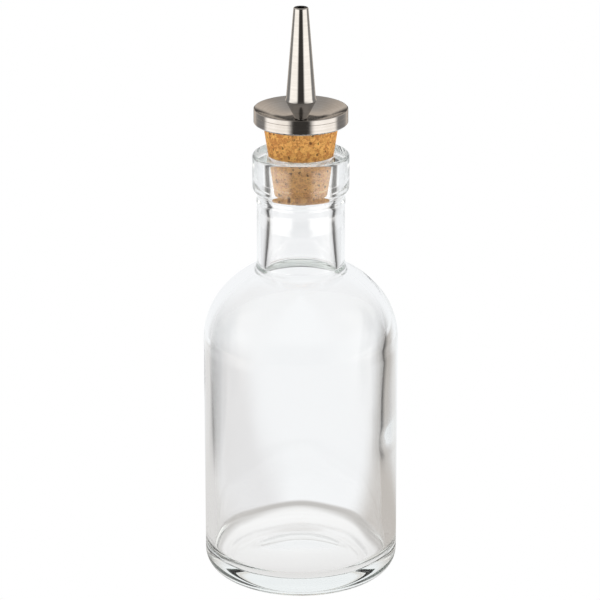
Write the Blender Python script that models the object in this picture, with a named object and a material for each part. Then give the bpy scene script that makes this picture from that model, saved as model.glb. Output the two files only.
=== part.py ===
"""Oil and vinegar bottle: a round glass bottle stopped by a tapered cork that carries a steel dash pourer.

Metres, +Z up. The origin is the centre of the bottle's base, and every piece is turned about the Z axis.
"""

import math

import bmesh
import bpy

# Bottle, outside
BODY_RADIUS = 0.0325
HEEL_RADIUS = 0.0071
SIDE_TOP = 0.0829
LOW_SHOULDER_RADIUS = 0.0244
LOW_SHOULDER_ANGLE = math.radians(37.4)
HIGH_SHOULDER_RADIUS = 0.0331
NECK_RADIUS = 0.0146
NECK_FILLET = 0.0029
NECK_LENGTH = 0.0240
RING_STEP = 0.00025
RING_HEIGHT = 0.0025
RING_BELOW_COLLAR = 0.0014
COLLAR_STEP = 0.0014
COLLAR_HEIGHT = 0.0134
COLLAR_LOW_ROUND = 0.0028
COLLAR_TOP_ROUND = 0.0010

# Bottle, inside
BODY_WALL = 0.0033
SHOULDER_WALL = 0.0033
INNER_HEEL_RADIUS = 0.0055
BORE_RADIUS = 0.0102
BORE_FLARE = 0.0170
MOUTH_RADIUS = 0.0111
FLOOR_THICKNESS = 0.0036

# Bottle, underside
STANDING_RING_WIDTH = 0.0018
PUSH_UP = 0.0030

# Cork
CORK_TAPER = 0.146
CORK_ABOVE_MOUTH = 0.0100
CORK_BELOW_MOUTH = 0.0133
CORK_EDGE = 0.0004

# Steel disc
DISC_RADIUS = 0.0155
DISC_THICKNESS = 0.0051
DISC_EDGE = 0.0005
DISC_LAND = 0.0003
DISH_DEPTH = 0.0036
SEAT_WIDTH = 0.0003

# Steel spout
SPOUT_FOOT_RADIUS = 0.0021
SPOUT_LIP_RADIUS = 0.0052
SPOUT_LIP_HEIGHT = 0.0061
SPOUT_FLARE_HEIGHT = 0.0009
SPOUT_CONE_RADIUS = 0.00485
SPOUT_TIP_RADIUS = 0.00245
SPOUT_LENGTH = 0.0371
SPOUT_EDGE = 0.0003
SPOUT_BORE_RADIUS = 0.0012
SOCKET_DEPTH = 0.0080

# Steel tube through the cork
STEM_RADIUS = 0.0015
STEM_WALL = 0.0004
STEM_BELOW_CORK = 0.0010

# Clearances
CORK_CLEARANCE = 0.00025
STEM_CLEARANCE = 0.00015
SEAT_GAP = 0.0003

# Faceting
BOTTLE_SIDES = 48
STOPPER_SIDES = 40
STEM_SIDES = 24
DEGREES_PER_STEP = 11.25


def arc(centre, radius, start, end):
    """Points on a circle of (radius, height) pairs from one angle to another, in radians."""
    steps = max(2, math.ceil(abs(end - start) / math.radians(DEGREES_PER_STEP)))
    angles = [start + (end - start) * step / steps for step in range(steps + 1)]
    return [(centre[0] + radius * math.cos(a), centre[1] + radius * math.sin(a)) for a in angles]


def shoulder(wall, neck_radius, neck_fillet):
    """A shoulder from the straight side up to the neck: two tangent arcs, then a fillet that ends upright.

    The wall is measured inwards from the outer shoulder, so both faces share their centres.
    """
    low_centre = (BODY_RADIUS - LOW_SHOULDER_RADIUS, SIDE_TOP)
    centres_apart = LOW_SHOULDER_RADIUS - HIGH_SHOULDER_RADIUS
    high_centre = (
        low_centre[0] + centres_apart * math.cos(LOW_SHOULDER_ANGLE),
        low_centre[1] + centres_apart * math.sin(LOW_SHOULDER_ANGLE),
    )
    high_radius = HIGH_SHOULDER_RADIUS - wall
    across = neck_radius + neck_fillet - high_centre[0]
    up = math.sqrt((high_radius + neck_fillet) ** 2 - across**2)
    fillet_centre = (high_centre[0] + across, high_centre[1] + up)
    meeting_angle = math.atan2(up, across)
    low = arc(low_centre, LOW_SHOULDER_RADIUS - wall, 0, LOW_SHOULDER_ANGLE)
    high = arc(high_centre, high_radius, LOW_SHOULDER_ANGLE, meeting_angle)
    fillet = arc(fillet_centre, neck_fillet, meeting_angle + math.pi, math.pi)
    return low + high[1:] + fillet[1:]


OUTER_SHOULDER = shoulder(0.0, NECK_RADIUS, NECK_FILLET)
COLLAR_BOTTOM = OUTER_SHOULDER[-1][1] + NECK_LENGTH
COLLAR_RADIUS = NECK_RADIUS + COLLAR_STEP
MOUTH_TOP = COLLAR_BOTTOM + COLLAR_HEIGHT
FLOOR_TOP = PUSH_UP + FLOOR_THICKNESS
CORK_TOP = MOUTH_TOP + CORK_ABOVE_MOUTH
CORK_BOTTOM = MOUTH_TOP - CORK_BELOW_MOUTH
DISC_BOTTOM = CORK_TOP + SEAT_GAP
SPOUT_BOTTOM = DISC_BOTTOM + DISC_THICKNESS - DISH_DEPTH + SEAT_GAP
STEM_HOLE_RADIUS = STEM_RADIUS + STEM_CLEARANCE
STEM_BOTTOM = CORK_BOTTOM - STEM_BELOW_CORK
STEM_TOP = SPOUT_BOTTOM + SOCKET_DEPTH - SEAT_GAP


def cork_radius(height):
    """The cork's side is a cone that meets the mouth's edge with the cork clearance."""
    return MOUTH_RADIUS - CORK_CLEARANCE + CORK_TAPER * (height - MOUTH_TOP)


def bottle_profile():
    """One closed outline from the underside's centre, up the outside and down the inside to the floor's centre."""
    ring_outer = BODY_RADIUS - HEEL_RADIUS
    ring_inner = ring_outer - STANDING_RING_WIDTH
    push_up_radius = (ring_inner**2 + PUSH_UP**2) / (2 * PUSH_UP)
    push_up_angle = math.asin(ring_inner / push_up_radius)
    push_up_centre = (0.0, PUSH_UP - push_up_radius)
    underside = arc(push_up_centre, push_up_radius, math.pi / 2, math.pi / 2 - push_up_angle)
    heel = arc((ring_outer, HEEL_RADIUS), HEEL_RADIUS, -math.pi / 2, 0)
    ring_top = COLLAR_BOTTOM - RING_BELOW_COLLAR
    ring_curve = (RING_HEIGHT**2 / 4 + RING_STEP**2) / (2 * RING_STEP)
    ring_angle = math.asin(RING_HEIGHT / 2 / ring_curve)
    ring_centre = (NECK_RADIUS + RING_STEP - ring_curve, ring_top - RING_HEIGHT / 2)
    neck_ring = arc(ring_centre, ring_curve, -ring_angle, ring_angle)
    low_angle = math.acos(1 - COLLAR_STEP / COLLAR_LOW_ROUND)
    low_round = arc(
        (COLLAR_RADIUS - COLLAR_LOW_ROUND, COLLAR_BOTTOM + COLLAR_LOW_ROUND * math.sin(low_angle)),
        COLLAR_LOW_ROUND,
        -low_angle,
        0,
    )
    top_round = arc(
        (COLLAR_RADIUS - COLLAR_TOP_ROUND, MOUTH_TOP - COLLAR_TOP_ROUND),
        COLLAR_TOP_ROUND,
        0,
        math.pi / 2,
    )
    mouth_depth = (MOUTH_RADIUS - BORE_RADIUS) / CORK_TAPER
    mouth = [(MOUTH_RADIUS, MOUTH_TOP), (BORE_RADIUS, MOUTH_TOP - mouth_depth)]
    inner_shoulder = shoulder(SHOULDER_WALL, BORE_RADIUS, BORE_FLARE)[::-1]
    inner_radius = BODY_RADIUS - BODY_WALL
    inner_heel = arc(
        (inner_radius - INNER_HEEL_RADIUS, FLOOR_TOP + INNER_HEEL_RADIUS),
        INNER_HEEL_RADIUS,
        0,
        -math.pi / 2,
    )
    outside = underside + heel + OUTER_SHOULDER + neck_ring + low_round + top_round
    return outside + mouth + inner_shoulder + inner_heel + [(0.0, FLOOR_TOP)]


def cork_profile():
    """A tapered cork with softened edges and a straight hole for the stem."""
    bottom_radius = cork_radius(CORK_BOTTOM)
    top_radius = cork_radius(CORK_TOP)
    return [
        (STEM_HOLE_RADIUS, CORK_BOTTOM),
        (bottom_radius - CORK_EDGE, CORK_BOTTOM),
        (bottom_radius, CORK_BOTTOM + CORK_EDGE),
        (top_radius, CORK_TOP - CORK_EDGE),
        (top_radius - CORK_EDGE, CORK_TOP),
        (STEM_HOLE_RADIUS, CORK_TOP),
    ]


def disc_profile():
    """A thick disc with a conical dish in its top and a flat seat for the spout round its hole."""
    top = DISC_BOTTOM + DISC_THICKNESS
    floor = top - DISH_DEPTH
    return [
        (STEM_HOLE_RADIUS, DISC_BOTTOM),
        (DISC_RADIUS - DISC_EDGE, DISC_BOTTOM),
        (DISC_RADIUS, DISC_BOTTOM + DISC_EDGE),
        (DISC_RADIUS, top - DISC_EDGE),
        (DISC_RADIUS - DISC_EDGE, top),
        (DISC_RADIUS - DISC_EDGE - DISC_LAND, top),
        (SPOUT_FOOT_RADIUS + SEAT_WIDTH, floor),
        (STEM_HOLE_RADIUS, floor),
    ]


def spout_profile():
    """A slim cone that flares to a lip over a short reversed cone, bored through, with a socket for the stem."""
    lip = SPOUT_BOTTOM + SPOUT_LIP_HEIGHT
    tip = SPOUT_BOTTOM + SPOUT_LENGTH
    socket_top = SPOUT_BOTTOM + SOCKET_DEPTH
    tip_round = arc((SPOUT_TIP_RADIUS - SPOUT_EDGE, tip - SPOUT_EDGE), SPOUT_EDGE, 0, math.pi / 2)
    return [
        (STEM_HOLE_RADIUS, SPOUT_BOTTOM),
        (SPOUT_FOOT_RADIUS, SPOUT_BOTTOM),
        (SPOUT_LIP_RADIUS, lip),
        (SPOUT_CONE_RADIUS, lip + SPOUT_FLARE_HEIGHT),
        *tip_round,
        (SPOUT_BORE_RADIUS, tip),
        (SPOUT_BORE_RADIUS, socket_top),
        (STEM_HOLE_RADIUS, socket_top),
    ]


def stem_profile():
    """A plain tube from just under the cork up into the spout's socket."""
    return [
        (STEM_RADIUS - STEM_WALL, STEM_BOTTOM),
        (STEM_RADIUS, STEM_BOTTOM),
        (STEM_RADIUS, STEM_TOP),
        (STEM_RADIUS - STEM_WALL, STEM_TOP),
    ]


def material(name, colour, roughness, metallic, alpha=1.0):
    made = bpy.data.materials.new(name)
    made.use_nodes = True
    made.diffuse_color = (*colour, alpha)
    shader = made.node_tree.nodes["Principled BSDF"]
    shader.inputs["Base Color"].default_value = (*colour, 1.0)
    shader.inputs["Roughness"].default_value = roughness
    shader.inputs["Metallic"].default_value = metallic
    return made


def empty(name, height, parent=None):
    made = bpy.data.objects.new(name, None)
    bpy.context.scene.collection.objects.link(made)
    made.parent = parent
    made.location = (0.0, 0.0, height)
    return made


def turned(name, profile, sides, surface, parent, parent_height):
    """A solid turned about Z from a closed outline of (radius, height) points given in world heights."""
    mesh = bpy.data.meshes.new(name)
    shape = bmesh.new()
    verts = [shape.verts.new((radius, 0.0, height - parent_height)) for radius, height in profile]
    edges = [shape.edges.new(pair) for pair in zip(verts, verts[1:])]
    if profile[0][0] > 0:
        edges.append(shape.edges.new((verts[-1], verts[0])))
    bmesh.ops.spin(
        shape,
        geom=verts + edges,
        cent=(0, 0, 0),
        axis=(0, 0, 1),
        angle=2 * math.pi,
        steps=sides,
        use_merge=True,
    )
    bmesh.ops.remove_doubles(shape, verts=shape.verts, dist=1e-6)
    bmesh.ops.recalc_face_normals(shape, faces=shape.faces)
    shape.to_mesh(mesh)
    shape.free()
    mesh.shade_smooth()
    mesh.set_sharp_from_angle(angle=math.radians(35))
    mesh.materials.append(surface)
    made = bpy.data.objects.new(name, mesh)
    bpy.context.scene.collection.objects.link(made)
    made.parent = parent
    return made


for leftover in list(bpy.data.objects):
    bpy.data.objects.remove(leftover)

glass = material("clear_glass", (0.93, 0.96, 0.95), 0.03, 0.0, alpha=0.35)
glass.node_tree.nodes["Principled BSDF"].inputs["Transmission Weight"].default_value = 1.0
cork = material("agglomerated_cork", (0.60, 0.34, 0.14), 0.85, 0.0)
turned_steel = material("turned_steel", (0.55, 0.52, 0.49), 0.30, 1.0)
polished_steel = material("polished_steel", (0.66, 0.64, 0.62), 0.12, 1.0)
tube_steel = material("tube_steel", (0.60, 0.59, 0.57), 0.25, 1.0)

stopper = empty("stopper_axis", CORK_BOTTOM)
pourer = empty("pourer_axis", DISC_BOTTOM - CORK_BOTTOM, stopper)

turned("glass_bottle", bottle_profile(), BOTTLE_SIDES, glass, None, 0.0)
turned("cork_stopper", cork_profile(), STOPPER_SIDES, cork, stopper, CORK_BOTTOM)
turned("pourer_disc", disc_profile(), STOPPER_SIDES, turned_steel, pourer, DISC_BOTTOM)
turned("pour_spout", spout_profile(), STOPPER_SIDES, polished_steel, pourer, DISC_BOTTOM)
turned("stem_tube", stem_profile(), STEM_SIDES, tube_steel, pourer, DISC_BOTTOM)
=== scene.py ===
# %% [markdown]
# A table bottle for oil or vinegar: clear glass, a tapered cork, and a steel pourer pressed through the cork.
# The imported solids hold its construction, and this lesson gives it its looks. We could place each piece by
# numbers of our own, but then a piece could end up beside its solid. So the frame is loaded first, and each
# piece's place and overall size are read from it. Rounds, walls and bores aren't in the frame: each of them
# is a named value in the cell that first needs it.

# %% Load the frame
import math

import bmesh
import bpy
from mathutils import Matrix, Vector, noise


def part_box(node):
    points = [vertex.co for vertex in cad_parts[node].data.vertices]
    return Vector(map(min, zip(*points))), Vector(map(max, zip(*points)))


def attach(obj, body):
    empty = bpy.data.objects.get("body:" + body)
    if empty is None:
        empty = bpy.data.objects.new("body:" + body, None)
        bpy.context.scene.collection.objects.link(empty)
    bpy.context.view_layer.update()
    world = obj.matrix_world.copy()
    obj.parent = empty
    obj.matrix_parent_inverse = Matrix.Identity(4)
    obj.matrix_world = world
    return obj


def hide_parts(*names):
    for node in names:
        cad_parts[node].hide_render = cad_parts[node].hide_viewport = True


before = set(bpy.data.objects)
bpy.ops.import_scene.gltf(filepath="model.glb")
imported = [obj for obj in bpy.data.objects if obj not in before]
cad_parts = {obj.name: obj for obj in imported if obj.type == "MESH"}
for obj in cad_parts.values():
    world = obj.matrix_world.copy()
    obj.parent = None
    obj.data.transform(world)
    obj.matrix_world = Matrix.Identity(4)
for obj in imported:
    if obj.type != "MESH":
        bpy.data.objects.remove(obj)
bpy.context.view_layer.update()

MM = 0.001
for node in sorted(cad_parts):
    low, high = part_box(node)
    print(f"{node}: {(high.x - low.x) / MM:.1f} mm across, {low.z / MM:.1f} to {high.z / MM:.1f} mm high")

# %% [markdown]
# Every finish below is a small graph of shader nodes. Placing nodes by hand takes four lines for one sum, and
# a long formula gets lost in them. Instead, one class wraps an output socket and answers to +, - and *, so
# that a formula in Python writes its own Math nodes.

# %% Shader maths as plain sums
class Signal:
    """A value that varies over the surface: one output socket of a graph."""

    def __init__(self, graph, socket):
        self.graph = graph
        self.socket = socket

    def __add__(self, other):
        return self.graph.maths("ADD", self, other)

    def __sub__(self, other):
        return self.graph.maths("SUBTRACT", self, other)

    def __rsub__(self, other):
        return self.graph.maths("SUBTRACT", other, self)

    def __mul__(self, other):
        return self.graph.maths("MULTIPLY", self, other)

    __radd__ = __add__
    __rmul__ = __mul__


# %% [markdown]
# A second class holds a node tree. Each kind of node could have a function of its own, but one method is less
# to learn: it takes a node's type, its settings, and what goes into its sockets. Only what is used all the
# time gets a short name on top of it: a sum, a soft step, a window of two steps, a mix of two colours, and
# the three numbers of a vector.

# %% One method for every other node
class Graph:
    """A node tree that nodes are added to."""

    def __init__(self, tree):
        self.tree = tree

    def node(self, kind, settings, sockets, output=0):
        """Add a node of this type with its settings, and put values or signals into its sockets."""
        made = self.tree.nodes.new(kind)
        for name, value in settings.items():
            setattr(made, name, value)
        for name, value in sockets.items():
            self.put(made.inputs[name], value)
        return Signal(self, made.outputs[output])

    def put(self, socket, value):
        """Link a signal to the socket, or set the socket to a plain value."""
        if isinstance(value, Signal):
            self.tree.links.new(value.socket, socket)
        else:
            socket.default_value = value

    def maths(self, operation, *values):
        return self.node("ShaderNodeMath", {"operation": operation}, dict(enumerate(values)))

    def rise(self, value, start, end):
        """0 before start, 1 after end and a smooth climb between. It falls where start is the larger."""
        soft = {"interpolation_type": "SMOOTHSTEP"}
        return self.node("ShaderNodeMapRange", soft, {"Value": value, "From Min": start, "From Max": end})

    def window(self, value, edges):
        """1 inside four edges: where it starts to rise, is up, starts to fall, and is down again."""
        start, up, ebb, end = edges
        return self.rise(value, start, up) * self.rise(value, end, ebb)

    def blend(self, amount, first, second):
        """From the first colour to the second. A Mix node's colour sockets are its numbers 6 and 7."""
        return self.node("ShaderNodeMix", {"data_type": "RGBA"}, {0: amount, 6: first, 7: second}, output=2)

    def parts(self, vector):
        """The three numbers of a vector, each as a signal."""
        split = self.node("ShaderNodeSeparateXYZ", {}, {0: vector})
        return [Signal(self, socket) for socket in split.socket.node.outputs]


# %% [markdown]
# A material is such a graph round a Principled BSDF. What is the same all over the surface is set on the
# shader's own sockets, and only what varies is linked: a constant that came through a node could be lost when
# the model is exported.

# %% Finishes
class Finish(Graph):
    """A material: a graph round a Principled BSDF, whose constants are set on its own sockets."""

    def __init__(self, name, constants):
        self.material = bpy.data.materials.new(name)
        self.material.use_nodes = True
        super().__init__(self.material.node_tree)
        self.shader = self.tree.nodes["Principled BSDF"]
        for socket, value in constants.items():
            self.put(self.shader.inputs[socket], value)

    def drive(self, socket, signal):
        """Let a signal vary one of the shader's sockets."""
        self.put(self.shader.inputs[socket], signal)

    def place(self):
        """The point on the piece in metres, as a vector."""
        return self.node("ShaderNodeTexCoord", {}, {}, output="Object")

    def noise(self, vector, scale, detail, output=0):
        """Soft noise with this many bumps in a metre: a number or, with its output Color, a vector."""
        sockets = {"Vector": vector, "Scale": scale, "Detail": detail}
        return self.node("ShaderNodeTexNoise", {}, sockets, output)

    def bump(self, height, distance):
        """A Bump node on the shader's Normal. A height of 1 stands the distance, in metres, above 0."""
        self.drive("Normal", self.node("ShaderNodeBump", {}, {"Height": height, "Distance": distance}))


# %% [markdown]
# Glass, cork and steel are all turned about the same axis, so each piece starts as an outline of (radius,
# height) points. We could type every point, but the real edges are rounds and straight lines. So one helper
# gives the points of a round, and another puts points along the straight parts, where the surface has to
# bend later.

# %% Outlines
def arc(centre, radius, start, end, step=6):
    """Points round a centre of (radius, height), from one angle to another in degrees. 90 is up."""
    count = max(2, math.ceil(abs(end - start) / step))
    angles = [math.radians(start + (end - start) * i / count) for i in range(count + 1)]
    return [(centre[0] + radius * math.cos(a), centre[1] + radius * math.sin(a)) for a in angles]


def spaced(outline, gap):
    """The same outline with points added, so that no two neighbours are further apart than the gap."""
    points = [outline[0]]
    for (r0, z0), (r1, z1) in zip(outline, outline[1:]):
        count = max(1, math.ceil(math.hypot(r1 - r0, z1 - z0) / gap))
        points += [(r0 + (r1 - r0) * i / count, z0 + (z1 - z0) * i / count) for i in range(1, count + 1)]
    return points


# %% [markdown]
# The outline is then turned. Blender's Screw modifier could do that, but the glass needs an inner wall that
# isn't quite round, which that modifier can't give. So the pieces are turned in mesh code: one ring of
# vertices for each point of the outline, and an optional function that moves a point as it goes round.

# %% Turning
def added(name, shape):
    """An object with this shape as its mesh, added to the scene."""
    mesh = bpy.data.meshes.new(name)
    shape.to_mesh(mesh)
    shape.free()
    made = bpy.data.objects.new(name, mesh)
    bpy.context.scene.collection.objects.link(made)
    return made


def turned(name, outline, sides, shift=None, bored=False):
    """A closed piece turned about Z. A bored one has a hole, so its outline is joined up end to end."""
    shape = bmesh.new()
    rings = []
    for radius, height in outline:
        ring = []
        for side in range(sides):
            angle = 2 * math.pi * side / sides
            r, z = shift(radius, height, angle) if shift else (radius, height)
            ring.append(shape.verts.new((r * math.cos(angle), r * math.sin(angle), z)))
        rings.append(ring)
    pairs = list(zip(rings, rings[1:]))
    if bored:
        pairs.append((rings[-1], rings[0]))
    for lower, upper in pairs:
        for side in range(sides):
            after = (side + 1) % sides
            shape.faces.new((lower[side], lower[after], upper[after], upper[side]))
    bmesh.ops.remove_doubles(shape, verts=shape.verts, dist=1e-7)
    bmesh.ops.recalc_face_normals(shape, faces=shape.faces)
    piece = added(name, shape)
    piece.data.shade_smooth()
    print(f"{name}: {len(piece.data.polygons)} faces")
    return piece


# %% [markdown]
# Each turned piece takes the place of a plain solid. We could hide the solid and leave it at that, but the
# new piece also has to move with the right body when the cork is pulled. One function says all of it, so that
# nothing is forgotten for any piece.

# %% Fit a piece over its solid
def fit(piece, node, body, finish):
    """The piece stands for its CAD node, moves with its body and wears its finish."""
    piece.data.materials.append(finish.material)
    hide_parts(node)
    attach(piece, body)
    print(f"{piece.name} rides on {body} in {finish.material.name}, {len(finish.tree.nodes)} nodes")


# %% [markdown]
# The bottle is blown into a mould, so its outside is crisp and its inside isn't. The outside is drawn first,
# from the middle of the underside up to the neck. It could be one smooth curve through a few points, but
# moulds are cut with round tools, so arcs that share a tangent follow the real thing with fewer numbers.
# Under the base the glass is pushed up, so that the bottle stands on a ring and doesn't rock.

# %% The bottle's outside
glass_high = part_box("glass_bottle")[1]
BODY_RADIUS = glass_high.x
MOUTH_TOP = glass_high.z
HEEL_RADIUS = 7.1 * MM
SIDE_TOP = 82.9 * MM
LOW_SHOULDER_RADIUS = 24.4 * MM
LOW_SHOULDER_ANGLE = 37.4
HIGH_SHOULDER_RADIUS = 33.1 * MM
NECK_RADIUS = 14.6 * MM
NECK_FILLET = 2.9 * MM
PUSH_UP = 3.0 * MM
STANDING_RING = 1.8 * MM
ring_outer = BODY_RADIUS - HEEL_RADIUS
ring_inner = ring_outer - STANDING_RING


def dome(start, end, foot, count=16):
    """The soft dome of the push-up, from one radius to another. The floor above it has the same dome."""
    radii = [start + (end - start) * i / count for i in range(count + 1)]
    return [(r, foot + PUSH_UP * (1 + math.cos(math.pi * r / ring_inner)) / 2) for r in radii]


def shoulder(wall, neck_radius, neck_fillet, lean=0):
    """Two arcs that share a tangent, from the side up, then a fillet that ends upright or leans."""
    turn = math.radians(LOW_SHOULDER_ANGLE)
    low_centre = (BODY_RADIUS - LOW_SHOULDER_RADIUS, SIDE_TOP)
    apart = LOW_SHOULDER_RADIUS - HIGH_SHOULDER_RADIUS
    high_centre = (low_centre[0] + apart * math.cos(turn), low_centre[1] + apart * math.sin(turn))
    high_radius = HIGH_SHOULDER_RADIUS - wall
    across = neck_radius + neck_fillet - high_centre[0]
    up = math.sqrt((high_radius + neck_fillet) ** 2 - across**2)
    fillet_centre = (high_centre[0] + across, high_centre[1] + up)
    meeting = math.degrees(math.atan2(up, across))
    low = arc(low_centre, LOW_SHOULDER_RADIUS - wall, 0, LOW_SHOULDER_ANGLE, step=2)
    high = arc(high_centre, high_radius, LOW_SHOULDER_ANGLE, meeting, step=2)
    return low + high[1:] + arc(fillet_centre, neck_fillet, meeting + 180, 180 + lean)[1:]


underside = dome(0, ring_inner, 0)
heel = arc((ring_outer, HEEL_RADIUS), HEEL_RADIUS, -90, 0)
outside = underside + heel + shoulder(0, NECK_RADIUS, NECK_FILLET)
print(f"up to the neck the outside has {len(outside)} points")

# %% [markdown]
# The neck carries a thick collar, which keeps the mouth from chipping, and a faint bead just below it. A bead
# that is only a quarter of a millimetre high could be left to a bump, but glass bends what is behind it by
# its true shape, so the bead is a shallow arc like the rest.

# %% Bead and collar
COLLAR_RADIUS = 16.0 * MM
COLLAR_BOTTOM = MOUTH_TOP - 13.4 * MM
COLLAR_LOW_ROUND = 2.8 * MM
COLLAR_TOP_ROUND = 1.0 * MM
BEAD_STEP = 0.25 * MM
BEAD_HEIGHT = 2.5 * MM
BEAD_BELOW_COLLAR = 1.4 * MM
bead_radius = (BEAD_HEIGHT**2 / 4 + BEAD_STEP**2) / (2 * BEAD_STEP)
bead_turn = math.degrees(math.asin(BEAD_HEIGHT / 2 / bead_radius))
bead_middle = COLLAR_BOTTOM - BEAD_BELOW_COLLAR - BEAD_HEIGHT / 2
bead_centre = (NECK_RADIUS + BEAD_STEP - bead_radius, bead_middle)
low_turn = math.degrees(math.acos(1 - (COLLAR_RADIUS - NECK_RADIUS) / COLLAR_LOW_ROUND))
low_height = COLLAR_LOW_ROUND * math.sin(math.radians(low_turn))
low_round_centre = (COLLAR_RADIUS - COLLAR_LOW_ROUND, COLLAR_BOTTOM + low_height)
top_round_centre = (COLLAR_RADIUS - COLLAR_TOP_ROUND, MOUTH_TOP - COLLAR_TOP_ROUND)
outside += arc(bead_centre, bead_radius, -bead_turn, bead_turn, step=10)
outside += arc(low_round_centre, COLLAR_LOW_ROUND, -low_turn, 0)
outside += arc(top_round_centre, COLLAR_TOP_ROUND, 0, 90)
print(f"the collar stands {(COLLAR_RADIUS - NECK_RADIUS) / MM:.1f} mm out from the neck")

# %% [markdown]
# The inside could be the outside again, only smaller, but the real one is rounder. The wall is about 3 mm
# thick. The mouth is a long gentle taper that takes the cork. Below it the bore widens slowly down to the
# neck's foot, because blown glass has no sharp corner there. The heel is an oval round, and the floor repeats
# the dome of the push-up under it: two different domes would act as a lens and draw dark crescents. Both ends
# of the whole outline lie on the axis, so the turned glass is one closed body that bends light correctly.

# %% The bottle's inside
BODY_WALL = 3.3 * MM
BORE_RADIUS = 10.3 * MM
BORE_TOP = MOUTH_TOP - 21 * MM
BORE_STEPS = 17
NECK_FOOT_BORE = 11.6 * MM
NECK_FOOT_FILLET = 3.0 * MM
NECK_FOOT_LEAN = 7
MOUTH_RADIUS = 11.1 * MM
MOUTH_DEPTH = 15 * MM
MOUTH_EDGE = 0.3 * MM
FLOOR_THICKNESS = 6.0 * MM
INNER_HEEL_WIDTH = 8.0 * MM
INNER_HEEL_HEIGHT = 5.5 * MM

inner_radius = BODY_RADIUS - BODY_WALL
inner_flat = inner_radius - INNER_HEEL_WIDTH
mouth_edge = arc((MOUTH_RADIUS + MOUTH_EDGE, MOUTH_TOP - MOUTH_EDGE), MOUTH_EDGE, 90, 180)
inner_shoulder = shoulder(BODY_WALL, NECK_FOOT_BORE, NECK_FOOT_FILLET, NECK_FOOT_LEAN)[::-1]
foot_radius, foot_height = inner_shoulder[0]
bore = []
for step in range(BORE_STEPS):
    share = step / BORE_STEPS
    widening = (foot_radius - BORE_RADIUS) * (1 - math.cos(math.pi / 2 * share))
    bore.append((BORE_RADIUS + widening, BORE_TOP + (foot_height - BORE_TOP) * share))
inside = mouth_edge + [(BORE_RADIUS, MOUTH_TOP - MOUTH_DEPTH)] + bore + inner_shoulder
for across, up in arc((0, 0), 1, 0, -90):
    inside.append((inner_flat + across * INNER_HEEL_WIDTH, FLOOR_THICKNESS + (1 + up) * INNER_HEEL_HEIGHT))
inside += dome(inner_flat, 0, FLOOR_THICKNESS)[1:]
print(f"the floor is {FLOOR_THICKNESS / MM:.1f} mm thick, the bore {2 * BORE_RADIUS / MM:.1f} mm wide")
print(f"the neck's foot is {2 * foot_radius / MM:.1f} mm wide inside")

# %% [markdown]
# A perfectly even wall would look like acrylic. Real blown glass is uneven inside, and noise alone would make
# it look hammered. The wall has one slow drift, thin on one side and thick on the other, with long waves on
# top. This one also has a thick place on its right side, with a small fold halfway up the body, where the
# glass chilled against the mould. So the shift is the sum of these, and it fades out towards the neck, where
# the cork has to fit.

# %% Turn the bottle
OUTER_GAP = 2 * MM
INNER_GAP = 1 * MM
GLASS_SIDES = 192
OFF_CENTRE = 0.5 * MM
WAVE_HEIGHT = 0.32 * MM
WAVE_LENGTH = 16 * MM
WAVE_STRETCH = 2
UNEVEN_END = 100 * MM
UNEVEN_FADE = 20 * MM
THICK_PLACE = [(8, 0.0), (22, 0.3), (60, 0.3), (84, 0.2), (98, 0.0)]
THICK_NARROWNESS = 3
FOLD = [(44, 0.0), (49, 0.3), (51, 0.3), (56, 0.0)]
FOLD_NARROWNESS = 12
outer_points = spaced(outside, OUTER_GAP)
inner_points = spaced(inside, INNER_GAP)
uneven = set(inner_points)


def held(value):
    """The value, held between 0 and 1."""
    return min(1.0, max(0.0, value))


def eased(knots, where):
    """A smooth value between knots of (height, value), all in millimetres."""
    for (start, first), (end, second) in zip(knots, knots[1:]):
        if start <= where < end:
            t = (where - start) / (end - start)
            return first + (second - first) * t * t * (3 - 2 * t)
    return 0.0


def inner_wall(radius, height, angle):
    """Drift, waves, thick place and fold of the inner wall. The outside and the floor's middle stay."""
    if (radius, height) not in uneven:
        return radius, height
    share = held((UNEVEN_END - height) / UNEVEN_FADE) * held(radius / inner_radius)
    to_the_right = max(0.0, math.cos(angle))
    point = Vector((radius * math.cos(angle), radius * math.sin(angle), height / WAVE_STRETCH))
    drift = -OFF_CENTRE * math.cos(angle)
    waves = WAVE_HEIGHT * noise.noise(point / WAVE_LENGTH)
    thick = eased(THICK_PLACE, height / MM) * MM * to_the_right**THICK_NARROWNESS
    fold = eased(FOLD, height / MM) * MM * to_the_right**FOLD_NARROWNESS
    return radius + share * (drift + waves - thick - fold), height


bottle = turned("glass_body", outer_points + inner_points, GLASS_SIDES, inner_wall)

# %% [markdown]
# Glass has hardly any colour of its own: its looks are what it bends and mirrors. A mix of glossy and
# transparent shaders could fake that, but the Principled BSDF does it truly with full transmission. The faint
# green shows only where light goes a long way through, in the lip and the heel, so it is an absorption inside
# the volume and not a tint on the surface.

# %% Clear glass
WHITE = (1, 1, 1, 1)
GLASS_TINT = (0.55, 0.75, 0.68, 1)
TINT_DENSITY = 2.2

glass = Finish("clear_glass", {
    "Base Color": WHITE,
    "Roughness": 0.0,
    "IOR": 1.52,
    "Transmission Weight": 1.0,
})
tint = glass.node("ShaderNodeVolumeAbsorption", {}, {"Color": GLASS_TINT, "Density": TINT_DENSITY})
glass.put(glass.tree.nodes["Material Output"].inputs["Volume"], tint)
fit(bottle, "glass_bottle", "bottle", glass)

# %% [markdown]
# The stopper is pressed from ground cork and sanded to a cone, and the stem's hole goes right through it. Its
# surface is full of shallow pits where grains broke out. They could be a bump, but at the cork's edge a bump
# leaves a ruler-straight outline, so the pits are in the mesh, and only ever go inwards.

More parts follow.
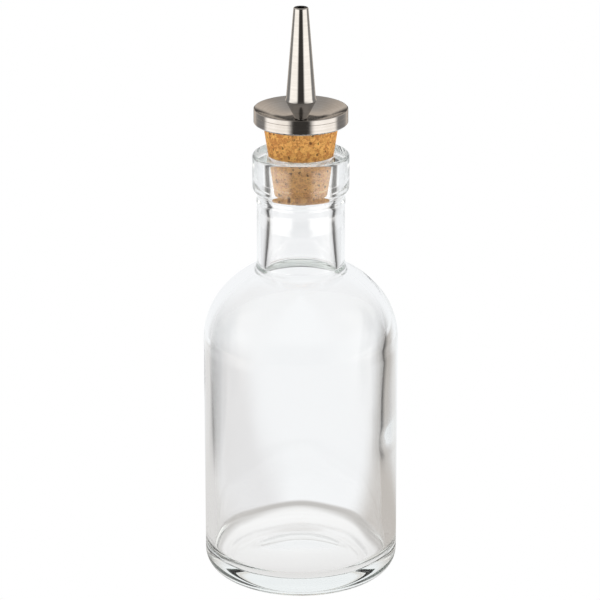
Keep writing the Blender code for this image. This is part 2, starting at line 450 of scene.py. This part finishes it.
# %% Turn the cork
cork_low, cork_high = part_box("cork_stopper")
CORK_TAPER = 0.146
CORK_EDGE = 0.5 * MM
CORK_GAP = 0.35 * MM
CORK_SIDES = 200
STEM_HOLE = 1.65 * MM
PIT_DEPTH = 0.10 * MM
PIT_SPACING = 0.9 * MM
SMALL_PITS = 2.3
SMALL_PIT_DEPTH = 0.5
SMOOTH_MARGIN = 2 * MM
cork_bottom_radius = cork_high.x - CORK_TAPER * (cork_high.z - cork_low.z)
cork_outline = spaced([
    (STEM_HOLE, cork_low.z),
    *arc((cork_bottom_radius - CORK_EDGE, cork_low.z + CORK_EDGE), CORK_EDGE, -90, 0, step=30),
    *arc((cork_high.x - CORK_EDGE, cork_high.z - CORK_EDGE), CORK_EDGE, 0, 90, step=30),
    (STEM_HOLE, cork_high.z),
], CORK_GAP)


def pitted(radius, height, angle):
    """Shallow pits, only ever inwards, so that the cork still goes into the mouth."""
    place = Vector((radius * math.cos(angle), radius * math.sin(angle), height)) / PIT_SPACING
    small = SMALL_PIT_DEPTH * max(0.0, noise.noise(place * SMALL_PITS))
    pit = max(0.0, noise.noise(place)) + small
    return radius - held((radius - STEM_HOLE) / SMOOTH_MARGIN) * PIT_DEPTH * pit, height


cork = turned("cork_plug", cork_outline, CORK_SIDES, pitted, bored=True)

# %% [markdown]
# Pressed cork is a warm orange tan. Close up it is a fine mottle of granules a little under a millimetre
# wide, some of them redder. A picture of cork would repeat and blur, so everything comes from the point
# itself: one Voronoi texture, bent a little by noise, gives each granule a tone of its own, and finer and
# broader noise soften it. The lower part, which sits in the mouth behind the glass, is painted paler: this is
# painted light, because less light reaches it through the glass.

# %% Granules of the cork
GRANULES = 1200
WARP_SCALE = 1200
WARP = 0.5 * MM
FINE_SCALE = 3000
BROAD_SCALE = 450
LIGHT_TO_RED = (0.55, 0.95)
LIGHT_CORK = (0.98, 0.55, 0.16, 1)
RED_CORK = (0.66, 0.28, 0.08, 1)
CORK_LIT_IN_MOUTH = (0.94, 0.59, 0.30, 1)
MOUTH_LIGHTENING = 0.35
IN_THE_MOUTH = 13.3 * MM
LIGHTENING_EDGE = 0.6 * MM


def bent(finish, point, scale, amount):
    """The same point pushed about by noise, so that cells don't look drawn with a ruler."""
    push = finish.noise(point, scale, 2, output="Color")
    sockets = {0: push, 1: (amount, amount, amount), 2: point}
    return finish.node("ShaderNodeVectorMath", {"operation": "MULTIPLY_ADD"}, sockets)


cork_finish = Finish("pressed_cork", {"Roughness": 0.85, "Specular IOR Level": 0.3})
point = cork_finish.place()
height = cork_finish.parts(point)[2]
granule_sockets = {"Vector": bent(cork_finish, point, WARP_SCALE, WARP), "Scale": GRANULES}
granule = cork_finish.node("ShaderNodeTexVoronoi", {}, granule_sockets, output="Color")
shade = cork_finish.node("ShaderNodeSeparateColor", {}, {0: granule})
fine = cork_finish.noise(point, FINE_SCALE, 3)
broad = cork_finish.noise(point, BROAD_SCALE, 2)
redness = cork_finish.rise(shade * 0.45 + fine * 0.55 + broad * 0.5, *LIGHT_TO_RED)
mottle = cork_finish.blend(redness, LIGHT_CORK, RED_CORK)
mouth_line = cork_low.z + IN_THE_MOUTH
# Painted light: the part of the cork in the mouth, seen through the glass, is painted paler.
lit_in_mouth = cork_finish.rise(height, mouth_line + LIGHTENING_EDGE, mouth_line - LIGHTENING_EDGE)
mottle = cork_finish.blend(lit_in_mouth * MOUTH_LIGHTENING, mottle, CORK_LIT_IN_MOUTH)
print(f"granules are about {1 / GRANULES / MM:.1f} mm wide")

# %% [markdown]
# Cork has pores, and the photograph shows a few small dark ones among finer specks. Dark noise alone would
# look like dirt. A second, coarser Voronoi puts a pore into some of its cells, and the finest noise gives the
# specks. Both also go into the bump, because a pore is a hole.

# %% Pores of the cork
PORES = 560
SWAY_SCALE = 1600
SWAY = 1.6 * MM
PORE_EDGE = (0.34, 0.18)
PORE_CHANCE = (0.50, 0.62)
PORE_DARKNESS = 0.85
SPECK_EDGE = (0.56, 0.66)
SPECK_DARKNESS = 0.40
PORE_DEPTH = 0.12 * MM
DARK_CORK = (0.13, 0.050, 0.018, 1)

pore_sockets = {"Vector": bent(cork_finish, point, SWAY_SCALE, SWAY), "Scale": PORES}
from_middle = cork_finish.node("ShaderNodeTexVoronoi", {}, pore_sockets, output="Distance")
pore_cell = cork_finish.node("ShaderNodeTexVoronoi", {}, pore_sockets, output="Color")
chance = cork_finish.node("ShaderNodeSeparateColor", {}, {0: pore_cell}, output=1)
pores = cork_finish.rise(from_middle, *PORE_EDGE) * cork_finish.rise(chance, *PORE_CHANCE)
specks = cork_finish.rise(fine, *SPECK_EDGE)
marks = cork_finish.maths("MAXIMUM", pores * PORE_DARKNESS, specks * SPECK_DARKNESS)
cork_finish.drive("Base Color", cork_finish.blend(marks, mottle, DARK_CORK))
cork_finish.bump(fine * 0.6 + shade * 0.4 - marks * 0.8, PORE_DEPTH)
fit(cork, "cork_stopper", "stopper", cork_finish)

# %% [markdown]
# The disc is turned from a bar: a rim with a fine line round it, a crisp top edge, and a dish that slopes
# down and rounds off softly to a flat floor at the foot of the spout. A flat top with a bump would be
# quicker, but a mirror shows its true slope. Sharp edges are marked by angle, because smooth shading would
# smear the light over the chamfers.

# %% Turn the disc
disc_low, disc_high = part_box("pourer_disc")
DISC_RADIUS = disc_high.x
DISC_EDGE = 0.5 * MM
DISC_TOP_EDGE = 0.2 * MM
DISC_LAND = 0.1 * MM
DISC_SIDES = 256
DISC_SHARP = math.radians(12)
DISH_DEPTH = 3.6 * MM
DISH_FLOOR_RADIUS = 7.0 * MM
DISH_FLOOR_ROUND = 14.0 * MM
LINE_BELOW_TOP = 1.7 * MM
LINE_DEPTH = 0.08 * MM
dish_floor = disc_high.z - DISH_DEPTH
dish_edge = DISC_RADIUS - DISC_TOP_EDGE - DISC_LAND
dish_slope = math.degrees(math.atan2(DISH_DEPTH, dish_edge - DISH_FLOOR_RADIUS))
dish_flat = DISH_FLOOR_RADIUS - DISH_FLOOR_ROUND * math.tan(math.radians(dish_slope / 2))
line = disc_high.z - LINE_BELOW_TOP
disc_outline = [
    (STEM_HOLE, disc_low.z),
    (DISC_RADIUS - DISC_EDGE, disc_low.z),
    (DISC_RADIUS, disc_low.z + DISC_EDGE),
    (DISC_RADIUS, line - LINE_DEPTH),
    (DISC_RADIUS - LINE_DEPTH, line),
    (DISC_RADIUS, line + LINE_DEPTH),
    (DISC_RADIUS, disc_high.z - DISC_TOP_EDGE),
    (DISC_RADIUS - DISC_TOP_EDGE, disc_high.z),
    (dish_edge, disc_high.z),
    *arc((dish_flat, dish_floor + DISH_FLOOR_ROUND), DISH_FLOOR_ROUND, dish_slope - 90, -90, step=3),
    (STEM_HOLE, dish_floor),
]
disc = turned("steel_disc", disc_outline, DISC_SIDES, bored=True)
disc.data.set_sharp_from_angle(angle=DISC_SHARP)

# %% [markdown]
# Turned steel isn't a clean mirror. The tool leaves rings round the axis, which draw every reflection out
# across them, and handling leaves soft smudges. The stretched reflection is the shader's own anisotropy. The
# rings are noise along one line only, the way from the axis plus the height, so they close round the piece.
# They are very shallow: in a mirror even a thousandth of a millimetre of bump would break up the reflection.
# In each sum below the numbers are the shares of rings, finest rings and smudges, and the number that stands
# alone is the least roughness.

# %% Turned steel
RINGS = 1500
FINEST_RINGS = 9000
RING_DEPTH = 0.0002 * MM
SMUDGES = 160
DARK_TO_LIGHT = (0.35, 0.65)
TURNED_DARK = (0.40, 0.38, 0.36, 1)
TURNED_LIGHT = (0.46, 0.445, 0.43, 1)


def rings_and_smudges(finish):
    """Signals from 0 to 1: rings round the axis, the finest of them, and the soft smudges of handling."""
    point = finish.place()
    x, y, z = finish.parts(point)
    way = finish.maths("SQRT", x * x + y * y) + z
    along = {"noise_dimensions": "1D"}
    rings = finish.node("ShaderNodeTexNoise", along, {"W": way, "Scale": RINGS, "Detail": 3})
    finest = finish.node("ShaderNodeTexNoise", along, {"W": way, "Scale": FINEST_RINGS, "Detail": 2})
    return rings, finest, finish.noise(point, SMUDGES, 4)


turned_steel = Finish("turned_steel", {"Metallic": 1.0, "Anisotropic": 0.6})
rings, finest, smudges = rings_and_smudges(turned_steel)
turned_steel.drive("Roughness", finest * 0.06 + smudges * 0.06 + rings * 0.02 + 0.03)
bright = turned_steel.rise(rings * 0.3 + smudges * 0.7, *DARK_TO_LIGHT)
turned_steel.drive("Base Color", turned_steel.blend(bright, TURNED_DARK, TURNED_LIGHT))
turned_steel.bump(rings, RING_DEPTH)
fit(disc, "pourer_disc", "pourer", turned_steel)

# %% [markdown]
# The spout is a slim cone on a short foot that widens upwards out of the dish. It has a real bore, because
# the hole in the tip shows, and the stem goes up into it. A plain cone would be quicker, but it would look
# like a nail: the small round at the tip and the lip over the foot are what catch the light.

# %% Turn the spout
spout_low, spout_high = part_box("pour_spout")
FOOT_RADIUS = 2.1 * MM
LIP_RADIUS = spout_high.x
LIP_HEIGHT = spout_low.z + 6.1 * MM
FLARE = 0.9 * MM
CONE_RADIUS = 4.85 * MM
TIP_RADIUS = 2.45 * MM
TIP_EDGE = 0.4 * MM
SPOUT_BORE = 1.2 * MM
SOCKET_TOP = spout_low.z + 8 * MM
SPOUT_SIDES = 160
SHARP = math.radians(25)
spout_outline = [
    (STEM_HOLE, spout_low.z),
    (FOOT_RADIUS, spout_low.z),
    (LIP_RADIUS, LIP_HEIGHT),
    (CONE_RADIUS, LIP_HEIGHT + FLARE),
    *arc((TIP_RADIUS - TIP_EDGE, spout_high.z - TIP_EDGE), TIP_EDGE, 0, 90, step=15),
    (SPOUT_BORE, spout_high.z),
    (SPOUT_BORE, SOCKET_TOP),
    (STEM_HOLE, SOCKET_TOP),
]
spout = turned("steel_spout", spout_outline, SPOUT_SIDES, bored=True)
spout.data.set_sharp_from_angle(angle=SHARP)

# %% [markdown]
# The cone is polished after turning, so its reflections are sharp streaks from foot to tip. It could be a
# perfect mirror, but that looks like chrome in a drawing. So the rings stay, almost gone, and a breath of
# smudges softens the streaks.

# %% Polished steel
POLISHED_DARK = (0.43, 0.42, 0.405, 1)
POLISHED_LIGHT = (0.48, 0.47, 0.455, 1)

polished_steel = Finish("polished_steel", {"Metallic": 1.0})
rings, finest, smudges = rings_and_smudges(polished_steel)
polished_steel.drive("Roughness", smudges * 0.07 + finest * 0.03 + 0.02)
bright = polished_steel.rise(rings * 0.4 + smudges * 0.6, *DARK_TO_LIGHT)
polished_steel.drive("Base Color", polished_steel.blend(bright, POLISHED_DARK, POLISHED_LIGHT))
polished_steel.bump(rings, RING_DEPTH / 4)
fit(spout, "pour_spout", "pourer", polished_steel)

# %% [markdown]
# The stem is a plain drawn tube that carries the disc and the spout and goes down through the cork. Only its
# end shows, under the cork, when the stopper is out. A solid rod would do for that view, but the oil is
# poured through the stem, so it is bored. Drawn tube is duller than turned steel and isn't polished.

# %% The stem and its finish
stem_low, stem_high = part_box("stem_tube")
STEM_RADIUS = stem_high.x
STEM_WALL = 0.4 * MM
STEM_SIDES = 64
TUBE_DARK = (0.38, 0.37, 0.36, 1)
TUBE_LIGHT = (0.48, 0.47, 0.46, 1)
stem_outline = [
    (STEM_RADIUS - STEM_WALL, stem_low.z),
    (STEM_RADIUS, stem_low.z),
    (STEM_RADIUS, stem_high.z),
    (STEM_RADIUS - STEM_WALL, stem_high.z),
]
stem = turned("steel_stem", stem_outline, STEM_SIDES, bored=True)
stem.data.set_sharp_from_angle(angle=SHARP)
tube_steel = Finish("tube_steel", {"Metallic": 1.0, "Anisotropic": 0.4})
rings, finest, smudges = rings_and_smudges(tube_steel)
tube_steel.drive("Roughness", finest * 0.12 + smudges * 0.10 + 0.14)
tube_steel.drive("Base Color", tube_steel.blend(smudges, TUBE_DARK, TUBE_LIGHT))
tube_steel.bump(rings, RING_DEPTH)
fit(stem, "stem_tube", "pourer", tube_steel)

# %% [markdown]
# The bottle stands on white paper, and the paper runs on behind it out of sight. One sheet could serve for
# everything, but glass shows whatever is beside and behind it, and with white all round it would vanish. So
# there are two. The camera sees only the large one, which is plain white and gives off its own light, so that
# it is the same white everywhere.

# %% White paper on the floor
PAPER_RADIUS = 8
PAPER_SIDES = 64
PAPER_HEIGHT = -1 * MM
BLACK = (0, 0, 0, 1)


def paper(name, radius, sides, height):
    """A flat round sheet of paper, which belongs to the studio and not to the bottle."""
    sheet = bmesh.new()
    bmesh.ops.create_circle(sheet, cap_ends=True, radius=radius, segments=sides)
    made = added(name, sheet)
    made.location.z = height
    print(f"{name}: {2 * radius:.2f} m across")
    return made


floor = paper("floor", PAPER_RADIUS, PAPER_SIDES, PAPER_HEIGHT)
floor.visible_glossy = False
floor.visible_transmission = False
floor.visible_diffuse = False
floor_paint = Finish("floor_paper", {
    "Base Color": BLACK,
    "Specular IOR Level": 0.0,
    "Emission Color": WHITE,
    "Emission Strength": 1.0,
})
floor.data.materials.append(floor_paint.material)

# %% [markdown]
# Glass and steel see the second sheet instead: a small round table top, painted by place. A picture could
# paint it, but glass and mirrors magnify, and a formula has no pixels that could show. A place is given by
# its turn round the bottle in degrees, with 0 at the front and 180 straight behind, and by its distance in
# metres. The sheet ends early, so that the collar and the disc look past it into the room.

# %% Round paper for the glass and the steel
TABLE_RADIUS = 0.385
TABLE_SIDES = 96
TABLE_HEIGHT = -0.5 * MM


def around(graph, x, y):
    """The turn of a place from the front in degrees, + to the right, and the same without its sign."""
    turn = graph.maths("ARCTAN2", x, y * -1.0) * math.degrees(1)
    return turn, graph.maths("ABSOLUTE", turn)


table = paper("table_paper", TABLE_RADIUS, TABLE_SIDES, TABLE_HEIGHT)
table.visible_camera = False
table_paint = Finish("table_paper", {"Base Color": BLACK, "Roughness": 1.0, "Emission Strength": 1.0})
x, y, _ = table_paint.parts(table_paint.place())
turn, away = around(table_paint, x, y)
distance = table_paint.maths("SQRT", x * x + y * y)

# %% [markdown]
# The round paper could be one grey, but then both edges of the glass would look alike. It is brightest
# straight behind the bottle and greyer at the sides, most on the right, and that grey draws the edges. Below,
# two numbers say where a soft change begins and ends, and four are the edges of a window.

# %% Tones of the round paper
TABLE_FRONT = (0.74, 0.73, 0.72, 1)
TABLE_LEFT = (0.70, 0.69, 0.68, 1)
TABLE_RIGHT = (0.52, 0.49, 0.46, 1)
TABLE_BEHIND = (0.92, 0.935, 0.95, 1)
TABLE_BEHIND_LEFT = (0.78, 0.78, 0.79, 1)
LEFT_TO_RIGHT = (-30, 30)
FRONT_TO_SIDE = (65, 105)
SIDE_TO_BEHIND = (134, 160)
FAR_SIDE_TO_BEHIND = (122, 134)
NEAR_TO_FAR = (0.27, 0.32)
BEHIND_LEFT_TURN = (-178, -167, -20, 0)
BEHIND_LEFT_END = (0.26, 0.20)

side_tone = table_paint.blend(table_paint.rise(turn, *LEFT_TO_RIGHT), TABLE_LEFT, TABLE_RIGHT)
tone = table_paint.blend(table_paint.rise(away, *FRONT_TO_SIDE), TABLE_FRONT, side_tone)
far_behind = table_paint.rise(distance, *NEAR_TO_FAR) * table_paint.rise(away, *FAR_SIDE_TO_BEHIND)
behind = table_paint.maths("MAXIMUM", table_paint.rise(away, *SIDE_TO_BEHIND), far_behind)
behind_left = table_paint.window(turn, BEHIND_LEFT_TURN) * table_paint.rise(distance, *BEHIND_LEFT_END)
behind_tone = table_paint.blend(behind_left, TABLE_BEHIND, TABLE_BEHIND_LEFT)
tone = table_paint.blend(behind, tone, behind_tone)
print(f"the paper is {TABLE_BEHIND[0] / TABLE_RIGHT[0]:.1f} times as bright behind as on the right")

# %% [markdown]
# Four touches go on top. Under the bottle the paper has a painted soft shadow, which turns from grey in front
# to white behind. A soft grey ring round the base is a darker painted shadow, and the heel bends it into the
# arch that shows in the floor. On each side, a little behind the bottle, a dark strip runs outwards, and the
# neck's thick wall squeezes it into the dark line beside the bore. Further forward the paper glows, as it
# would under a light panel. Real cards and lamps could do the same, but paint casts no shadow of its own.

# %% Touches on the round paper
UNDER_SHADOW_FRONT = (0.74, 0.73, 0.72, 1)
UNDER_SHADOW_BACK = (0.96, 0.96, 0.96, 1)
FRONT_TO_BACK = (-0.045, 0.045)
UNDER_SHADOW_END = (0.06, 0.035)
NARROWING = 1.3
BASE_SHADOW = (0.50, 0.485, 0.47, 1)
BASE_SHADOW_EDGES = (0.038, 0.043, 0.046, 0.058)
STRIP = (0.04, 0.04, 0.04, 1)
STRIP_TURN = (100, 104, 122, 134)
STRIP_START = (0.10, 0.16)
PANEL = (2.10, 2.02, 1.92, 1)
GLOW_TURN = (45, 80, 88, 104)
GLOW_START = (0.14, 0.42)

# Painted soft shadow under the bottle, grey in front and white behind.
under_shadow = table_paint.blend(table_paint.rise(y, *FRONT_TO_BACK), UNDER_SHADOW_FRONT, UNDER_SHADOW_BACK)
near = table_paint.maths("SQRT", x * x * NARROWING**2 + y * y)
tone = table_paint.blend(table_paint.rise(near, *UNDER_SHADOW_END), tone, under_shadow)
# Painted shadow: a darker grey ring round the base of the bottle.
tone = table_paint.blend(table_paint.window(near, BASE_SHADOW_EDGES), tone, BASE_SHADOW)
strips = table_paint.window(away, STRIP_TURN) * table_paint.rise(distance, *STRIP_START)
tone = table_paint.blend(strips, tone, STRIP)
glow = table_paint.window(away, GLOW_TURN) * table_paint.rise(distance, *GLOW_START)
tone = table_paint.blend(glow, tone, PANEL)
table_paint.drive("Emission Color", tone)
table.data.materials.append(table_paint.material)
print(f"the round paper is painted with {len(table_paint.tree.nodes)} nodes")

# %% [markdown]
# The light comes from the room itself. Lamps could do that, but steel and glass show the shape of what lights
# them, and painting the world's background by direction gives every light soft edges for nothing. A direction
# is a turn from the front and an elevation above the horizon, both in degrees. Steel wants hard dark shapes
# to mirror, and clear glass wants a bright room, or it turns grey. The Light Path node tells the two apart: a
# ray off perfectly smooth glass is a singular ray, and one off the steel isn't.

# %% Directions in the room
BACKDROP = (0.92, 0.93, 0.945, 1)
STEEL_BACKDROP = (0.90, 0.80, 0.70, 1)
STEEL_OVERHEAD = (0.58, 0.56, 0.54, 1)
BACKDROP_TO_OVERHEAD = (25, 60)

studio = bpy.data.worlds.new("studio")
bpy.context.scene.world = studio
studio.use_nodes = True
room = Graph(studio.node_tree)
x, y, up = room.parts(room.node("ShaderNodeTexCoord", {}, {}, output="Generated"))
turn, away = around(room, x, y)
elevation = room.maths("ARCSINE", up) * math.degrees(1)
by_glass = room.node("ShaderNodeLightPath", {}, {}, output="Is Singular Ray")
steel_backdrop = room.blend(room.rise(elevation, *BACKDROP_TO_OVERHEAD), STEEL_BACKDROP, STEEL_OVERHEAD)
backdrop = room.blend(by_glass, steel_backdrop, BACKDROP)
print(f"for the steel the backdrop ends {BACKDROP_TO_OVERHEAD[1]} degrees up")

# %% [markdown]
# The steel sees two tall light panels, which reach from a little off the front round to just past each side,
# with a dark front between them and a warm backdrop behind. Even light would leave it a plain grey: only a
# room of bright and dark bands makes it look like steel.

# %% What the steel sees
FRONT = (0.075, 0.070, 0.065, 1)
SIDE = (0.40, 0.39, 0.38, 1)
SIDE_TO_FRONT = (60, 50)
PANEL_TURN = (18, 36, 88, 104)
STEEL_TO_BACKDROP = (126, 158)

in_front = room.rise(away, *SIDE_TO_FRONT)
panels = room.window(away, PANEL_TURN)
steel_sees = room.blend(in_front, SIDE, FRONT)
steel_sees = room.blend(panels, steel_sees, PANEL)
steel_sees = room.blend(room.rise(away, *STEEL_TO_BACKDROP), steel_sees, backdrop)
print(f"each light panel reaches from {PANEL_TURN[0]} to {PANEL_TURN[3]} degrees off the front")

# %% [markdown]
# The glass sees the same room in softer, brighter tones, because hard panels would draw white streaks over
# it. It could have one tone from top to bottom, but then the collar would look dull. Of all the glass, only
# the neck and the collar stand high enough to see far below the horizon, past the edge of the round paper.
# There the panels are at their brightest, which gives the collar its sparkle.

# %% What the glass sees
GLASS_FRONT = (0.60, 0.60, 0.60, 1)
GLASS_PANEL = (1.30, 1.28, 1.25, 1)
GLASS_PANEL_TURN = (20, 90, 92, 104)
GLASS_TO_BACKDROP = (118, 150)
LOW_SIDE = (0.68, 0.67, 0.66, 1)
LOW_PANEL = (3.30, 3.20, 3.05, 1)
LOW_START = (-14, -17)

collar_sees = room.blend(in_front, LOW_SIDE, FRONT)
collar_sees = room.blend(panels, collar_sees, LOW_PANEL)
glass_sees = room.blend(in_front, SIDE, GLASS_FRONT)
glass_sees = room.blend(room.window(away, GLASS_PANEL_TURN), glass_sees, GLASS_PANEL)
glass_sees = room.blend(room.rise(elevation, *LOW_START), glass_sees, collar_sees)
glass_sees = room.blend(room.rise(away, *GLASS_TO_BACKDROP), glass_sees, backdrop)
print(f"the collar's own view starts {-LOW_START[0]} degrees below the horizon")

# %% [markdown]
# Above the panels the room changes softly to its upper part, which is dark in front for the steel and bright
# for the glass. Two touches come last. Behind the bottle stands a low dark screen with a taller post in the
# middle, for the steel alone: the near half of the disc's dish mirrors it, as the photograph shows. And for
# the glass alone, the dark strips of the paper go on in the room beyond its edge. Real cards could make both,
# but each of them would then show in the glass and in the steel.

# %% Put the room together
UPPER_FRONT = (0.14, 0.13, 0.12, 1)
GLASS_UPPER_FRONT = (1.00, 1.00, 1.00, 1)
UPPER_SIDE = (0.70, 0.66, 0.62, 1)
UPPER_FRONT_TO_SIDE = (20, 70)
UPPER_SIDE_TO_BACKDROP = (110, 150)
LOW_TO_HIGH = (8, 30)
DARK_BACK = (0.08, 0.075, 0.07, 1)
SCREEN_HEIGHT = (-26, -22, 7, 15)
SCREEN_TURN = (158, 166)
POST_HEIGHT = (-26, -22, 20, 24)
POST_TURN = (165, 171)
STRIP_ELEVATION = (-18.5, -17, 4, 12)

low_room = room.blend(by_glass, steel_sees, glass_sees)
upper_front = room.blend(by_glass, UPPER_FRONT, GLASS_UPPER_FRONT)
high_room = room.blend(room.rise(away, *UPPER_FRONT_TO_SIDE), upper_front, UPPER_SIDE)
high_room = room.blend(room.rise(away, *UPPER_SIDE_TO_BACKDROP), high_room, backdrop)
surround = room.blend(room.rise(elevation, *LOW_TO_HIGH), low_room, high_room)
screen = room.window(elevation, SCREEN_HEIGHT) * room.rise(away, *SCREEN_TURN)
post = room.window(elevation, POST_HEIGHT) * room.rise(away, *POST_TURN)
dark = room.maths("MAXIMUM", screen, post)
surround = room.blend(dark * (1 - by_glass), surround, DARK_BACK)
strips = room.window(away, STRIP_TURN) * room.window(elevation, STRIP_ELEVATION)
surround = room.blend(strips * by_glass, surround, STRIP)
room.put(room.tree.nodes["Background"].inputs["Color"], surround)
print(f"the room is painted with {len(room.tree.nodes)} nodes")

# %% [markdown]
# The photograph was taken from a little above with a long lens: upright lines stay nearly parallel, and the
# lip is a flat ellipse. The camera could be moved about until it looks right, but its pitch and distance were
# found by fitting the outline of the bottle, which is surer. The view transform is the plain one, because a
# filmic curve would grey the white paper. A ray may cross the glass many times before it leaves, so it is
# allowed many bounces: cut short, it would end black.

# %% Camera
PITCH = math.radians(19.47)
DISTANCE = 1.0899
TARGET_HEIGHT = 0.09585
SIDESTEP = -0.0003
LENS = 195.92
GLASS_BOUNCES = 96
MIRROR_BOUNCES = 24

scene = bpy.context.scene
camera = bpy.data.objects.new("camera", bpy.data.cameras.new("camera"))
scene.collection.objects.link(camera)
camera.data.lens = LENS
camera.location = (SIDESTEP, -DISTANCE * math.cos(PITCH), TARGET_HEIGHT + DISTANCE * math.sin(PITCH))
camera.rotation_euler = (math.pi / 2 - PITCH, 0, 0)
scene.camera = camera
scene.view_settings.view_transform = "Standard"
scene.cycles.max_bounces = GLASS_BOUNCES
scene.cycles.transmission_bounces = GLASS_BOUNCES
scene.cycles.glossy_bounces = MIRROR_BOUNCES
print(f"the camera stands {DISTANCE:.2f} m away and looks down {math.degrees(PITCH):.1f} degrees")
